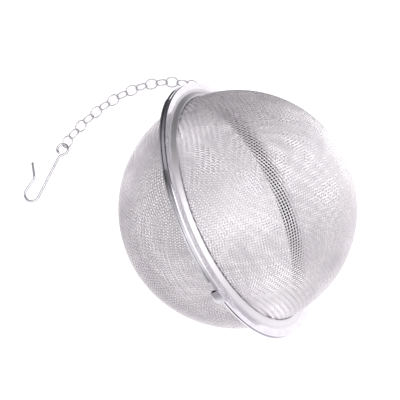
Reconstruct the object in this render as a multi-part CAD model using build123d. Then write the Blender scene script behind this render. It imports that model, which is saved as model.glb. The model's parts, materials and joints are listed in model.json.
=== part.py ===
from build123d import *
from math import acos, asin, atan2, cos, degrees, hypot, pi, radians, sin
import os

# A woven-wire tea ball that lies on a table: two half balls held shut by a twist catch,
# with a cable chain and a wire hook.
# Millimetres. +Z is up from the table and the origin is on the table under the ball's centre.
# The ball's own axis lies in the XZ plane and points to +X and up, through the upper half.

# Ball
MESH_RADIUS = 35.1        # outside of the woven half balls
MESH_THICKNESS = 0.55     # two crossing wires
SPLIT_GAP = 0.05          # each half starts this far from the joint plane

# Rims, which are pressed from thin strip
STRIP = 0.45
UPPER_RIM_RADIUS = 39.7
LOWER_RIM_RADIUS = 40.0
UPPER_RIM_HEIGHT = 1.3
LOWER_FLANGE_BOTTOM = 0.5
FLANGE_INNER_RADIUS = 36.75
COLLAR_RADIUS = 35.6      # outside of the lip that grips the woven wire
COLLAR_HEIGHT = 2.3
LIP_HEIGHT = 0.3
MESH_FIT = 0.05           # between the lip and the woven wire
EDGE_ROUND = 0.35
LINER_HEIGHT = 2.2
LINER_THICKNESS = 0.4
LINER_FIT = 0.1

# Twist catches on the upper rim, with a notch in the lower flange for each
CATCH_ANGLE = 223.0       # about the ball's axis, from straight down
CATCH_COUNT = 2
CATCH_WIDTH = 4.0
CATCH_CLEARANCE = 0.08
CATCH_DEPTH = 1.8
CATCH_HOOK_RADIUS = 38.7  # inside of the turned-up leg
NOTCH_WIDTH = 5.0
NOTCH_RADIUS = 38.3
RELEASE_TURN = 3.9        # turn that lines the catches up with the notches
CUT_MARGIN = 1.0          # the notch is cut this far past the flange

# Chain lug, spot welded under the lower flange
LUG_ANGLE = 62.0
LUG_INNER_RADIUS = 37.4
LUG_HOLE_RADIUS_AT = 42.3
LUG_WIDTH = 3.6
LUG_THICKNESS = 0.6
LUG_HOLE = 0.85

# Jump ring and chain
RING_WIRE = 0.8
RING_RADIUS = 2.6
LINK_COUNT = 21
LINK_WIRE = 0.45
LINK_LENGTH = 4.25
LINK_WIDTH = 3.9
LINK_TWIST = 45.0         # each link leans this far, to alternate sides
LINK_GAP = 0.05
FLOOR_GAP = 0.01

# Chain route: it hangs from the ring, then lies on the table in a long bend
HANG_SLOPES = (82.0, 70.0, 50.0, 30.0)
HANG_HEADING = 100.0
HANG_TURN = 6.0
LAID_HEADING = 137.0
LAID_TURN = 6.0
LAID_SWAY = 9.0
LAID_SWAY_LINKS = 11

# Hook
HOOK_WIRE = 0.8
HOOK_EYE = 1.7            # centre line radius of the eye
HOOK_EYE_OPENING = 25.0   # the eye's wire starts here
HOOK_EYE_LEAVES = 315.0   # and runs out into the shank here
HOOK_SHANK = 19.3         # eye centre to the bottom of the bend
HOOK_MOUTH = 5.0          # shank to return leg, between centre lines
HOOK_CORNER = 2.45        # radius of each corner of the bend
HOOK_WAIST = (12.0, 3.9)
HOOK_TIP = (8.0, 6.7)
HOOK_HEADING = 227.0
HOOK_DROOP = 1.8          # the eye rests on the chain, the bend on the table
HOOK_ROLL = 6.0
HOOK_GAP = 0.15

RIM_REACH = hypot(LOWER_RIM_RADIUS, LOWER_FLANGE_BOTTOM)
AXIS_TILT = degrees(acos(MESH_RADIUS / RIM_REACH) + atan2(LOWER_FLANGE_BOTTOM, LOWER_RIM_RADIUS))
BALL = Pos(0, 0, MESH_RADIUS) * Rot(0, 90 - AXIS_TILT, 0)


def turned(outline, rounds):
    """A ring turned from an outline of (radius, height) points, some of its corners rounded."""
    face = Plane.XZ * make_face(Polyline(*outline, close=True))
    for (radius, height), size in rounds:
        corner = Vector(radius, 0, height)
        face = fillet(face.vertices().sort_by_distance(corner)[0], size)
    return revolve(face, Axis.Z)


def sector(outline, width, radius):
    """The part of such a ring that is width long at that radius, centred on +X."""
    span = degrees(width / radius)
    face = Plane.XZ * make_face(Polyline(*outline, close=True))
    return Rot(0, 0, -span / 2) * revolve(face, Axis.Z, span)


def rim_outline(edge_radius, flange_top, wall_foot):
    """Flange with a sloped collar and its lip; wall_foot adds the upper rim's outer wall."""
    lip = MESH_RADIUS + MESH_FIT
    flange_under = flange_top - STRIP
    outer = [(edge_radius, flange_under)]
    if wall_foot is not None:
        outer = [(edge_radius - STRIP, flange_under), (edge_radius - STRIP, wall_foot)]
        outer += [(edge_radius, wall_foot)]
    return outer + [
        (edge_radius, flange_top),
        (FLANGE_INNER_RADIUS, flange_top),
        (COLLAR_RADIUS, COLLAR_HEIGHT),
        (lip, COLLAR_HEIGHT),
        (lip, COLLAR_HEIGHT - LIP_HEIGHT),
        (FLANGE_INNER_RADIUS - STRIP / 2, flange_under),
    ]


def woven_half():
    """A pressed half ball of woven wire, as the closed shell that it fills."""
    shell = Sphere(MESH_RADIUS) - Sphere(MESH_RADIUS - MESH_THICKNESS)
    return split(shell, Plane.XY.offset(2 * SPLIT_GAP), keep=Keep.TOP)


def liner():
    """The band inside a rim that holds the woven wire against the collar."""
    outer = MESH_RADIUS - MESH_THICKNESS - LINER_FIT
    inner = outer - LINER_THICKNESS
    outline = [(inner, SPLIT_GAP), (outer, SPLIT_GAP), (outer, LINER_HEIGHT), (inner, LINER_HEIGHT)]
    return turned(outline, [((inner, LINER_HEIGHT), LINER_THICKNESS / 3)])


def catch():
    """A strap that goes over the lower flange's edge and turns up behind it."""
    wall_in = LOWER_RIM_RADIUS + CATCH_CLEARANCE
    wall_out = wall_in + STRIP
    root = UPPER_RIM_RADIUS - STRIP
    root_under = UPPER_RIM_HEIGHT - 2 * STRIP
    leg_top = -LOWER_FLANGE_BOTTOM - CATCH_CLEARANCE
    outline = [
        (root, UPPER_RIM_HEIGHT),
        (wall_out - EDGE_ROUND, UPPER_RIM_HEIGHT),
        (wall_out, UPPER_RIM_HEIGHT - EDGE_ROUND),
        (wall_out, EDGE_ROUND - CATCH_DEPTH),
        (wall_out - EDGE_ROUND, -CATCH_DEPTH),
        (CATCH_HOOK_RADIUS + EDGE_ROUND, -CATCH_DEPTH),
        (CATCH_HOOK_RADIUS, EDGE_ROUND - CATCH_DEPTH),
        (CATCH_HOOK_RADIUS, leg_top),
        (CATCH_HOOK_RADIUS + STRIP, leg_top),
        (CATCH_HOOK_RADIUS + STRIP, STRIP - CATCH_DEPTH),
        (wall_in, STRIP - CATCH_DEPTH),
        (wall_in, root_under),
        (root, root_under),
    ]
    return sector(outline, CATCH_WIDTH, LOWER_RIM_RADIUS)


def upper_rim():
    outline = rim_outline(UPPER_RIM_RADIUS, UPPER_RIM_HEIGHT, SPLIT_GAP)
    rounds = [((UPPER_RIM_RADIUS, UPPER_RIM_HEIGHT), EDGE_ROUND)]
    rounds += [((FLANGE_INNER_RADIUS, UPPER_RIM_HEIGHT), EDGE_ROUND)]
    ring = turned(outline, rounds)
    for number in range(CATCH_COUNT):
        ring += Rot(0, 0, CATCH_ANGLE + number * 360 / CATCH_COUNT) * catch()
    return ring


def lower_rim():
    """The plain flange, made mouth up like the upper rim and turned over at the end."""
    outline = rim_outline(LOWER_RIM_RADIUS, LOWER_FLANGE_BOTTOM, None)
    ring = mirror(turned(outline, [((FLANGE_INNER_RADIUS, LOWER_FLANGE_BOTTOM), EDGE_ROUND)]), Plane.XY)
    past = LOWER_RIM_RADIUS + CUT_MARGIN
    low, high = -CUT_MARGIN, CUT_MARGIN
    block = [(NOTCH_RADIUS, low), (past, low), (past, high), (NOTCH_RADIUS, high)]
    notch = sector(block, NOTCH_WIDTH, LOWER_RIM_RADIUS)
    for number in range(CATCH_COUNT):
        ring -= Rot(0, 0, CATCH_ANGLE - RELEASE_TURN + number * 360 / CATCH_COUNT) * notch
    return ring


def chain_lug():
    """A flat ear with a round end and one hole."""
    length = LUG_HOLE_RADIUS_AT - LUG_INNER_RADIUS
    body = Pos(LUG_INNER_RADIUS + length / 2, 0, 0) * Rectangle(length, LUG_WIDTH)
    face = body + Pos(LUG_HOLE_RADIUS_AT, 0) * Circle(LUG_WIDTH / 2)
    face -= Pos(LUG_HOLE_RADIUS_AT, 0) * Circle(LUG_HOLE)
    ear = extrude(face, LUG_THICKNESS)
    return Rot(0, 0, LUG_ANGLE) * Pos(0, 0, -LOWER_FLANGE_BOTTOM - LUG_THICKNESS) * ear


def oval(length, width, wire):
    """A closed wire link round Z, its long way along X."""
    bend = (width - wire) / 2
    half_run = (length - width) / 2
    end = Rot(0, 0, -90) * revolve(Plane.XZ * Pos(bend, 0) * Circle(wire / 2), Axis.Z, 180)
    link = Pos(half_run, 0, 0) * end + Pos(-half_run, 0, 0) * Rot(0, 0, 180) * end
    for side in (-1, 1):
        link += Pos(0, side * bend, 0) * Rot(0, 90, 0) * Cylinder(wire / 2, 2 * half_run)
    return link


def hook():
    """Eye, shank, bend and flared tip of one wire, in the XY plane, the eye at the origin."""
    opening = radians(HOOK_EYE_OPENING)
    leave = radians(HOOK_EYE_LEAVES)
    eye = CenterArc((0, 0), HOOK_EYE, HOOK_EYE_OPENING, HOOK_EYE_LEAVES - HOOK_EYE_OPENING)
    start = (HOOK_EYE * cos(leave), HOOK_EYE * sin(leave))
    corner = (start[0] - start[1], 0)
    bottom = [(HOOK_SHANK, 0), (HOOK_SHANK, HOOK_MOUTH)]
    rounds = [HOOK_EYE, HOOK_CORNER, HOOK_CORNER, HOOK_EYE]
    run = FilletPolyline(start, corner, *bottom, HOOK_WAIST, HOOK_TIP, radius=rounds)
    path = Wire([eye.edge(), *run.edges()])
    section = Plane(origin=path @ 0, z_dir=path % 0) * Circle(HOOK_WIRE / 2)
    wire = sweep(section, path=path)
    eye_end = (HOOK_EYE * cos(opening), HOOK_EYE * sin(opening))
    for end in (eye_end, HOOK_TIP):
        wire += Pos(*end) * Sphere(HOOK_WIRE / 2)
    return wire


def direction(heading, slope):
    """Unit vector with a compass heading from +X towards +Y, and a downward slope."""
    flat = cos(radians(slope))
    return Vector(flat * cos(radians(heading)), flat * sin(radians(heading)), -sin(radians(slope)))


def leaning(heading, slope, twist):
    """The width axis of a link that runs that way and leans by twist from level."""
    along = direction(heading, slope)
    level = direction(heading + 90, 0)
    return level * cos(radians(twist)) + along.cross(level) * sin(radians(twist))


def laid_height():
    """Height of the chain's line where its leaning links touch the table."""
    bend = (LINK_WIDTH - LINK_WIRE) / 2
    return bend * sin(radians(LINK_TWIST)) + LINK_WIRE / 2 + FLOOR_GAP


def chain_angles(number, height):
    """Heading and slope of a link, counted from 0 at the ring, whose pivot is at that height."""
    hanging = len(HANG_SLOPES)
    if number < hanging:
        return HANG_HEADING + HANG_TURN * number, HANG_SLOPES[number]
    if number == hanging:
        reach = LINK_LENGTH - 2 * LINK_WIRE - LINK_GAP
        return HANG_HEADING + HANG_TURN * number, degrees(asin((height - laid_height()) / reach))
    laid = number - hanging - 1
    sway = LAID_SWAY * sin(pi * laid / LAID_SWAY_LINKS)
    return LAID_HEADING + LAID_TURN * laid + sway, 0.0


def chain():
    """Every hanging piece from the ring to the hook, as (node, solid, pivot, pivot axis)."""
    hole = BALL * Rot(0, 0, LUG_ANGLE) * Pos(LUG_HOLE_RADIUS_AT, 0, -LOWER_FLANGE_BOTTOM - LUG_THICKNESS / 2)
    pivot = hole.position
    down = Vector(0, 0, -1)
    across = Vector(1, 0, 0)
    ring = oval(2 * RING_RADIUS + RING_WIRE, 2 * RING_RADIUS + RING_WIRE - LINK_GAP, RING_WIRE)
    placed = Plane(origin=pivot + down * RING_RADIUS, x_dir=down, z_dir=down.cross(across))
    pieces = [("jump_ring", placed.location * ring, pivot, across)]
    pivot = pivot + down * 2 * RING_RADIUS
    wire = RING_WIRE
    link = oval(LINK_LENGTH, LINK_WIDTH, LINK_WIRE)
    for number in range(LINK_COUNT):
        heading, slope = chain_angles(number, pivot.Z)
        along = direction(heading, slope)
        width = leaning(heading, slope, LINK_TWIST if number % 2 else -LINK_TWIST)
        near_end = pivot - along * ((wire + LINK_WIRE) / 2 + LINK_GAP)
        centre = near_end + along * (LINK_LENGTH - LINK_WIRE) / 2
        placed = Plane(origin=centre, x_dir=along, z_dir=along.cross(width))
        pieces.append((f"link_{number + 1:02d}", placed.location * link, pivot, across))
        pivot = near_end + along * (LINK_LENGTH - LINK_WIRE)
        across = width
        wire = LINK_WIRE
    along = direction(HOOK_HEADING, HOOK_DROOP)
    eye = pivot - along * ((LINK_WIRE + HOOK_WIRE) / 2 + HOOK_GAP - HOOK_EYE)
    placed = Plane(origin=eye, x_dir=along, z_dir=leaning(HOOK_HEADING, HOOK_DROOP, HOOK_ROLL - 90))
    pieces.append(("hook", placed.location * hook(), pivot, across))
    return pieces


def ball_pieces():
    """The pieces of the ball, about their own axis along Z with the joint plane at Z = 0."""
    return {
        "upper_mesh": woven_half(),
        "upper_liner": liner(),
        "upper_rim": upper_rim(),
        "lower_mesh": mirror(woven_half(), Plane.XY),
        "lower_liner": mirror(liner(), Plane.XY),
        "lower_rim": lower_rim(),
        "chain_lug": chain_lug(),
    }


os.makedirs("parts", exist_ok=True)
for name, solid in ball_pieces().items():
    export_step(BALL * solid, f"parts/{name}.step")
for name, solid, _, _ in chain():
    export_step(solid, f"parts/{name}.step")
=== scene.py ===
"""A tea ball of woven wire on a white table, with its chain and hook laid out beside it.

Metres throughout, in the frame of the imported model: +Z is up from the table and the ball's own
axis lies in the XZ plane, pointing to +X and up through the upper half.
"""

import json
from math import atan2, cos, pi, radians, sin

import bpy
import numpy as np
from mathutils import Euler, Matrix, Vector


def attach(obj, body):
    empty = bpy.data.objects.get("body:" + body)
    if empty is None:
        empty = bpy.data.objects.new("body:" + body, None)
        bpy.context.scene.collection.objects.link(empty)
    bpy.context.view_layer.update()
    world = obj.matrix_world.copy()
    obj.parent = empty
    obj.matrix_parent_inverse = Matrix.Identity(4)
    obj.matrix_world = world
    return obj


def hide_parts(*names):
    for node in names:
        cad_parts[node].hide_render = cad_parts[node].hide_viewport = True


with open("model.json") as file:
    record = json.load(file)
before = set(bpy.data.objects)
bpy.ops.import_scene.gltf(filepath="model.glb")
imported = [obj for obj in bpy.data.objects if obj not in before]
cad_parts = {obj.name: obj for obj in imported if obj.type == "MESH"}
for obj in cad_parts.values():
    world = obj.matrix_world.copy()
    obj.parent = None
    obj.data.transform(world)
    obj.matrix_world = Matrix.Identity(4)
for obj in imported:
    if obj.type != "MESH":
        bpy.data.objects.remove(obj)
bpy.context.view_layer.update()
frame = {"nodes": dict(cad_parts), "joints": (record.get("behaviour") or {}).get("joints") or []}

MM = 0.001
TWIST_LOCK = next(joint for joint in frame["joints"] if joint["name"] == "twist_lock")
BALL_CENTRE = Vector(TWIST_LOCK["pos_m"])
BALL_AXIS = Vector(TWIST_LOCK["axis"]).normalized()
AXIS_LEAN = atan2(BALL_AXIS.x, BALL_AXIS.z)      # from upright towards +X
BALL_TURN = Euler((0, AXIS_LEAN, 0))

# Woven cloth
CLOTH_RADIUS = 34.825 * MM       # where the two layers of wire cross
WIRE_DIAMETER = 0.27 * MM
WIRE_SIDES = 6
WEAVE_PITCH = 0.85 * MM
CLOTH_EDGE = 0.3 * MM            # the wires stop this far from the joint plane
CLOTH_TURN = {"upper": radians(20), "lower": radians(-12)}   # of the cloth about the ball's axis
SHORTEST_WIRE = 3                # crossings

# Where the strip parts change their look
SHOULDER = (37.5 * MM, 37.9 * MM)        # the rim is dull inside the first radius, bright past the second
LINER_PAINTED_SHADE_FADE = (1.1 * MM, 2.1 * MM)        # painted shade: a liner is near-black up to the first height, paler grey from the second

# Studio
TABLE_HALF = 1.5
TABLE_GLOW = 0.72                # a table lit from below, so that the shadow stays faint
DARK_CORNER = (-0.6, 0.75, 0.2)
WORLD_STRENGTH = 1.6
CARD_ENDS = ((0.2, 0.075), (-0.12, 0.1))     # of its foot on the table
CARD_HEIGHT = 0.25
CARD_GREY_TO_BLACK = (-0.07, -0.03)          # along X

# Camera
LENS = 171.6
SENSOR = 36
CAMERA_HEIGHT_ANGLE = 77.56      # degrees above the table
CAMERA_SWING = -17.17            # degrees about Z
CAMERA_DISTANCE = 0.560
CAMERA_OFFSET = (-0.01107, 0.00271)          # of its line of sight from the ball's centre: right, up


def add_node(tree, kind, settings=None, inputs=None):
    """Adds a node: its settings first, then a value or a link for each named socket."""
    made = tree.nodes.new(kind)
    for name, setting in (settings or {}).items():
        setattr(made, name, setting)
    for name, value in (inputs or {}).items():
        socket = made.inputs[name]
        if isinstance(value, Amount):
            value = value.socket
        if isinstance(value, bpy.types.NodeSocket):
            tree.links.new(value, socket)
        else:
            socket.default_value = value
    return made


def shown(name, mesh):
    """An object that shows the mesh."""
    made = bpy.data.objects.new(name, mesh)
    bpy.context.scene.collection.objects.link(made)
    return made


# ---------------------------------------------------------------- finishes

class Amount:
    """A number that varies over a surface. Arithmetic on it adds Math nodes to its finish."""

    def __init__(self, finish, socket):
        self.finish = finish
        self.socket = socket

    def _math(self, operation, other):
        made = self.finish.node("ShaderNodeMath", {"operation": operation}, {0: self, 1: other})
        return Amount(self.finish, made.outputs[0])

    def __add__(self, other):
        return self._math("ADD", other)

    __radd__ = __add__

    def __mul__(self, other):
        return self._math("MULTIPLY", other)

    __rmul__ = __mul__

    def __pow__(self, other):
        return self._math("POWER", other)


class Finish:
    """A procedural surface, or the studio's light, built node by node."""

    def __init__(self, name, block=None):
        self.block = block or bpy.data.materials.new(name)
        self.block.use_nodes = True
        self.tree = self.block.node_tree
        self.tree.nodes.clear()

    def node(self, kind, settings=None, inputs=None):
        return add_node(self.tree, kind, settings, inputs)

    def amount(self, kind, settings, inputs, output=0):
        return Amount(self, self.node(kind, settings, inputs).outputs[output])

    def place(self, centre=(0, 0, 0), turn=(0, 0, 0)):
        """Object coordinates in a frame centred there and turned so."""
        where = self.node("ShaderNodeTexCoord")
        shift = {"Vector": where.outputs["Object"], "Location": centre, "Rotation": turn}
        return self.node("ShaderNodeMapping", {"vector_type": "TEXTURE"}, shift).outputs[0]

    def axes(self, vector):
        """The three parts of a vector."""
        split = self.node("ShaderNodeSeparateXYZ", {}, {0: vector})
        return [Amount(self, part) for part in split.outputs]

    def noise(self, vector, scale, detail=3.0, roughness=0.5):
        inputs = {"Vector": vector, "Scale": scale, "Detail": detail, "Roughness": roughness}
        return self.amount("ShaderNodeTexNoise", {}, inputs)

    def ranged(self, value, low, high, to_low, to_high):
        inputs = {"Value": value, "From Min": low, "From Max": high, "To Min": to_low, "To Max": to_high}
        return self.amount("ShaderNodeMapRange", {"clamp": True}, inputs)

    def tint(self, amount, first, second):
        """A colour that goes from the first to the second as the amount goes from 0 to 1."""
        if isinstance(first, tuple):
            first = (*first, 1)
        inputs = {0: amount, 6: first, 7: (*second, 1)}
        return self.node("ShaderNodeMix", {"data_type": "RGBA"}, inputs).outputs[2]

    def bump(self, height, distance, strength):
        inputs = {"Height": height, "Distance": distance, "Strength": strength}
        return self.node("ShaderNodeBump", {}, inputs).outputs[0]

    def surface(self, inputs):
        """Ends the finish in one shader with these inputs."""
        shader = self.node("ShaderNodeBsdfPrincipled", {}, inputs)
        self.node("ShaderNodeOutputMaterial", {}, {"Surface": shader.outputs[0]})
        return self.block

    def metal(self, colour, roughness, normal):
        inputs = {"Base Color": colour, "Roughness": roughness, "Metallic": 1.0, "Normal": normal}
        return self.surface(inputs)


def drawn_wire(name, light, dark):
    """Bright drawn wire: fine die scratches, a slightly uneven sheen and a dull film in places."""
    finish = Finish(name)
    place = finish.place()
    film = finish.noise(place, 90.0, 4.0, 0.6)
    grain = finish.noise(place, 5200.0, 2.0, 0.7)
    roughness = finish.ranged(film, 0.35, 0.7, 0.2, 0.34) + grain * 0.06
    colour = finish.tint(finish.ranged(film + grain * 0.25, 0.45, 0.85, 0, 1), light, dark)
    normal = finish.bump(grain, 0.00001, 0.35)
    return finish.metal(colour, roughness, normal)


def ball_round(finish):
    """Radius and height about the ball's axis, and the angle round it."""
    x, y, height = finish.axes(finish.place(BALL_CENTRE, BALL_TURN))
    radius = (x * x + y * y) ** 0.5
    angle = finish.amount("ShaderNodeMath", {"operation": "ARCTAN2"}, {0: y, 1: x})
    return radius, angle, height


def spun_steel(name, light, dark, rough_low, rough_high, groove, dull_shoulder_or_shade):
    """Strip that was rolled and polished on a lathe: fine rings round the ball's axis.

    The rims stay dull on the shoulder inside the flange. The liners carry painted shade: near-black up to a
    height from the joint plane, paler grey along their far edge."""
    finish = Finish(name)
    radius, angle, height = ball_round(finish)
    rings = finish.node("ShaderNodeCombineXYZ", {}, {0: radius, 1: height, 2: angle * 0.002})
    fine = finish.noise(rings.outputs[0], 9000.0, 3.0, 0.6)
    place = finish.place()
    smudge = finish.noise(place, 160.0, 4.0, 0.55)
    dent = finish.noise(place, 380.0, 1.0, 0.4)
    rough = finish.ranged(smudge, 0.4, 0.68, rough_low, rough_high) + fine * 0.04
    colour = finish.tint(finish.ranged(smudge + fine * 0.3, 0.5, 0.9, 0, 1), light, dark)
    if dull_shoulder_or_shade == "shoulder":
        rough = rough + finish.ranged(radius, *SHOULDER, 0.4, 0.0)
        colour = finish.tint(finish.ranged(radius, *SHOULDER, 1, 0), colour, (0.68, 0.665, 0.69))
    else:
        # liners: painted shade, near-black by the joint plane, turned paler grey from the far-edge height on
        level = finish.amount("ShaderNodeMath", {"operation": "ABSOLUTE"}, {0: height})
        colour = finish.tint(finish.ranged(level, *LINER_PAINTED_SHADE_FADE, 0, 1), colour, (0.5, 0.47, 0.49))
    normal = finish.bump(fine * 0.5 + dent * 2.0, groove, 0.5)
    return finish.metal(colour, rough, normal)


def bright_wire(name, light, dark):
    """Formed wire with light handling marks."""
    finish = Finish(name)
    place = finish.place()
    marks = finish.noise(place, 700.0, 4.0, 0.65)
    scratch = finish.noise(place, 5000.0, 3.0, 0.7)
    roughness = finish.ranged(marks, 0.38, 0.7, 0.12, 0.3) + scratch * 0.05
    colour = finish.tint(finish.ranged(marks + scratch * 0.3, 0.5, 0.9, 0, 1), light, dark)
    normal = finish.bump(scratch, 0.00001, 0.4)
    return finish.metal(colour, roughness, normal)


CLOTH_WIRE = drawn_wire("cloth_wire", (0.83, 0.805, 0.825), (0.64, 0.615, 0.64))
RIM_STEEL = spun_steel(
    "rim_steel_polished", (0.7, 0.685, 0.725), (0.57, 0.555, 0.6), 0.07, 0.16, 0.00002, "shoulder")
# The liners' near-black colour is painted shade, standing in for the dark band inside the ball.
LINER_PAINTED_SHADE_STEEL = spun_steel(
    "liner_steel_painted_shade", (0.07, 0.066, 0.07), (0.035, 0.032, 0.035), 0.12, 0.24, 0.00003, "edge")
CHAIN_WIRE = bright_wire("chain_wire_bright", (0.66, 0.64, 0.67), (0.46, 0.44, 0.47))
HOOK_WIRE = bright_wire("hook_wire_bright", (0.6, 0.59, 0.62), (0.44, 0.43, 0.46))


# ---------------------------------------------------------------- woven cloth

def pressed_net():
    """Where the wires of a square cloth cross once it is pressed over a ball.

    The cloth stays as long as it was along both wires and shears between them. Crossings are unit
    vectors round the pole at +Z, for one quarter of the half ball."""
    step = WEAVE_PITCH / CLOTH_RADIUS
    edge = CLOTH_EDGE / CLOTH_RADIUS
    count = int(pi / 2 / step)
    net = {}
    for n in range(count + 1):
        net[n, 0] = np.array((sin(n * step), 0, cos(n * step)))
        net[0, n] = np.array((0, sin(n * step), cos(n * step)))
    for i in range(1, count + 1):
        for j in range(1, count + 1):
            if (i - 1, j) in net and (i, j - 1) in net:
                across = np.cross(net[i - 1, j], net[i, j - 1])
                across /= np.linalg.norm(across)
                behind = net[i - 1, j - 1]
                crossing = behind - 2 * (behind @ across) * across
                if crossing[2] > edge:
                    net[i, j] = crossing
    return {place: point for place, point in net.items() if point[2] > edge}


def cloth_lines(net, along_warp, outward, turn):
    """The wires of one direction as chains of crossings, and which side each takes there."""
    rows = {}
    for (i, j), point in net.items():
        for right in (1, -1):
            for front in (1, -1):
                a, b = (i * right, j * front) if along_warp else (j * front, i * right)
                rows.setdefault(a, {})[b] = point * (right, front, 1)
    points, edges, sides = [], [], []
    first_side = 1 if along_warp else -1
    for a in sorted(rows):
        chain = sorted(rows[a])
        if len(chain) < SHORTEST_WIRE:
            continue
        for n, b in enumerate(chain):
            if n:
                edges.append((len(points) - 1, len(points)))
            points.append(rows[a][b])
            sides.append(first_side * (-1) ** (a + b))
    spin = Matrix.Rotation(AXIS_LEAN, 3, "Y") @ Matrix.Rotation(turn, 3, "Z")
    points = np.array(points) * (1, 1, outward)
    points = points @ np.array(spin).T * CLOTH_RADIUS + np.array(BALL_CENTRE)
    return points, edges, sides


def sweep_tree():
    """A node tree that sets each wire over or under at every crossing and gives it its thickness."""
    tree = bpy.data.node_groups.new("weave_wires", "GeometryNodeTree")
    given_sockets = {
        "Lines": "NodeSocketGeometry",
        "Ball centre": "NodeSocketVector",
        "Wire diameter": "NodeSocketFloat",
        "Sides": "NodeSocketInt",
        "Finish": "NodeSocketMaterial",
    }
    for label, kind in given_sockets.items():
        tree.interface.new_socket(label, in_out="INPUT", socket_type=kind)
    tree.interface.new_socket("Wires", in_out="OUTPUT", socket_type="NodeSocketGeometry")

    def add(kind, settings=None, inputs=None):
        return add_node(tree, kind, settings, inputs).outputs

    given = add("NodeGroupInput")
    place = add("GeometryNodeInputPosition")[0]
    spoke = add("ShaderNodeVectorMath", {"operation": "SUBTRACT"}, {0: place, 1: given["Ball centre"]})
    outward = add("ShaderNodeVectorMath", {"operation": "NORMALIZE"}, {0: spoke[0]})
    side = add("GeometryNodeInputNamedAttribute", {"data_type": "FLOAT"}, {"Name": "side"})
    radius = add("ShaderNodeMath", {"operation": "MULTIPLY"}, {0: given["Wire diameter"], 1: 0.5})
    reach = add("ShaderNodeMath", {"operation": "MULTIPLY"}, {0: side[0], 1: radius[0]})
    lift = add("ShaderNodeVectorMath", {"operation": "SCALE"}, {0: outward[0], "Scale": reach[0]})
    crimped = add("GeometryNodeSetPosition", {}, {"Geometry": given["Lines"], "Offset": lift[0]})
    curves = add("GeometryNodeMeshToCurve", {}, {"Mesh": crimped[0]})
    section = add("GeometryNodeCurvePrimitiveCircle", {}, {"Resolution": given["Sides"], "Radius": radius[0]})
    sweep = {"Curve": curves[0], "Profile Curve": section[0], "Fill Caps": True}
    swept = add("GeometryNodeCurveToMesh", {}, sweep)
    smooth = add("GeometryNodeSetShadeSmooth", {}, {0: swept[0], "Shade Smooth": True})
    real = add("GeometryNodeRealizeInstances", {}, {"Geometry": smooth[0]})
    painted = add("GeometryNodeSetMaterial", {}, {"Geometry": real[0], "Material": given["Finish"]})
    add("NodeGroupOutput", {}, {0: painted[0]})
    return tree


def grown(name, guide, tree, values):
    """The plain mesh that a node tree makes from a guide mesh."""
    source = shown(name + "_guide", guide)
    maker = source.modifiers.new("maker", "NODES")
    maker.node_group = tree
    named = {item.name: item.identifier for item in tree.interface.items_tree if item.in_out == "INPUT"}
    for label, value in values.items():
        maker[named[label]] = value
    depsgraph = bpy.context.evaluated_depsgraph_get()
    mesh = bpy.data.meshes.new_from_object(source.evaluated_get(depsgraph))
    mesh.name = name
    source.modifiers.remove(maker)
    bpy.data.objects.remove(source)
    return shown(name, mesh)


def woven_halves():
    """Warp and weft wires for each half of the ball."""
    net = pressed_net()
    tree = sweep_tree()
    for half, outward in (("upper", 1), ("lower", -1)):
        for direction, along_warp in (("warp", True), ("weft", False)):
            points, edges, sides = cloth_lines(net, along_warp, outward, CLOTH_TURN[half])
            guide = bpy.data.meshes.new("lines")
            guide.from_pydata(points, edges, [])
            guide.attributes.new("side", "FLOAT", "POINT").data.foreach_set("value", sides)
            values = {
                "Ball centre": BALL_CENTRE,
                "Wire diameter": WIRE_DIAMETER,
                "Sides": WIRE_SIDES,
                "Finish": CLOTH_WIRE,
            }
            piece = grown(f"{half}_cloth_{direction}", guide, tree, values)
            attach(piece, f"{half}_half")
            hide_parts(f"{half}_mesh")


woven_halves()


# ---------------------------------------------------------------- parts that keep their shape

NODE_FINISH = {
    "upper_rim": RIM_STEEL,
    "lower_rim": RIM_STEEL,
    "chain_lug": RIM_STEEL,
    "upper_liner": LINER_PAINTED_SHADE_STEEL,
    "lower_liner": LINER_PAINTED_SHADE_STEEL,
    "hook": HOOK_WIRE,
}
for name, node in frame["nodes"].items():
    for place in node.material_slots:
        place.material = NODE_FINISH.get(name, CHAIN_WIRE)


# ---------------------------------------------------------------- table, light and camera

def flat_sheet(name, corners, material):
    mesh = bpy.data.meshes.new(name)
    mesh.from_pydata(corners, [], [(0, 1, 2, 3)])
    mesh.materials.append(material)
    return shown(name, mesh)


def table():
    half = TABLE_HALF
    corners = [(-half, -half, 0), (half, -half, 0), (half, half, 0), (-half, half, 0)]
    glow = {
        "Base Color": (0.45, 0.44, 0.45, 1),
        "Roughness": 0.7,
        "Emission Color": (1, 0.985, 1, 1),
        "Emission Strength": TABLE_GLOW,
    }
    top = flat_sheet("table_top", corners, Finish("white_table").surface(glow))


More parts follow.
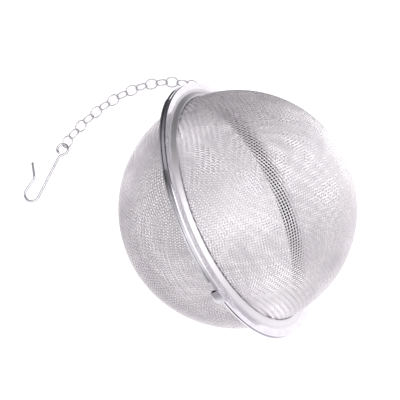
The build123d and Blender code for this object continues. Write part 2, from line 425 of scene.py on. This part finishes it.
def surroundings():
    """A studio bright overhead that falls off towards the horizon, most of all in one corner.

    Behind the object it shows plain white."""
    world = bpy.data.worlds.new("studio")
    finish = Finish("studio", world)
    toward = finish.node("ShaderNodeTexCoord").outputs["Generated"]
    corner = {0: toward, 1: Vector(DARK_CORNER).normalized()}
    corner = finish.node("ShaderNodeVectorMath", {"operation": "DOT_PRODUCT"}, corner).outputs["Value"]
    height = finish.axes(toward)[2]
    light = finish.ranged(height, 0.0, 0.8, 0.25, 1.0) * finish.ranged(corner, 0.4, 0.9, 1.0, 0.2)
    colour = finish.tint(light, (0.0, 0.0, 0.0), (1.0, 0.99, 1.0))
    sky = finish.node("ShaderNodeBackground", {}, {"Color": colour, "Strength": WORLD_STRENGTH})
    backdrop = finish.node("ShaderNodeBackground", {}, {"Color": (1, 1, 1, 1), "Strength": 1.0})
    seen = finish.node("ShaderNodeLightPath").outputs["Is Camera Ray"]
    both = finish.node("ShaderNodeMixShader", {}, {0: seen, 1: sky.outputs[0], 2: backdrop.outputs[0]})
    finish.node("ShaderNodeOutputWorld", {}, {"Surface": both.outputs[0]})
    bpy.context.scene.world = world
    bpy.context.scene.view_settings.view_transform = "Standard"


def dark_card():
    """A card behind the chain that only reflections see, black to the right and grey to the left."""
    foot = [(x, y, 0) for x, y in CARD_ENDS]
    head = [(x, y, CARD_HEIGHT) for x, y in reversed(CARD_ENDS)]
    finish = Finish("graded_card")
    across = finish.axes(finish.place())[0]
    black = finish.ranged(across, *CARD_GREY_TO_BLACK, 0, 1)
    glow = {
        "Base Color": (0, 0, 0, 1),
        "Roughness": 1.0,
        "Specular IOR Level": 0.0,
        "Emission Color": finish.tint(black, (0.55, 0.54, 0.56), (0.1, 0.1, 0.105)),
        "Emission Strength": 1.0,
    }
    card = flat_sheet("dark_card", foot + head, finish.surface(glow))
    for ray in ("camera", "diffuse", "transmission", "volume_scatter", "shadow"):
        setattr(card, "visible_" + ray, False)


def soft_light(name, place, size, power):
    """A square panel of light aimed at the ball."""
    lamp = bpy.data.lights.new(name, "AREA")
    lamp.shape = "RECTANGLE"
    lamp.size = lamp.size_y = size
    lamp.energy = power
    holder = shown(name, lamp)
    holder.location = place
    aim = Vector((0, 0, 0.03)) - Vector(place)
    holder.rotation_euler = aim.to_track_quat("-Z", "Y").to_euler()


def camera():
    lens = bpy.data.cameras.new("camera")
    lens.lens = LENS
    lens.sensor_width = SENSOR
    lens.clip_start = 0.01
    holder = shown("camera", lens)
    turn = Euler((radians(90 - CAMERA_HEIGHT_ANGLE), 0, radians(CAMERA_SWING)))
    right, up, back = (turn.to_matrix() @ Vector(v) for v in ((1, 0, 0), (0, 1, 0), (0, 0, 1)))
    offset = right * CAMERA_OFFSET[0] + up * CAMERA_OFFSET[1]
    holder.location = BALL_CENTRE + offset + back * CAMERA_DISTANCE
    holder.rotation_euler = turn
    bpy.context.scene.camera = holder


table()
surroundings()
dark_card()
soft_light("overhead", (0.1, -0.1, 0.9), 0.9, 4)
soft_light("side", (0.8, 0.1, 0.45), 1.1, 1.5)
camera()
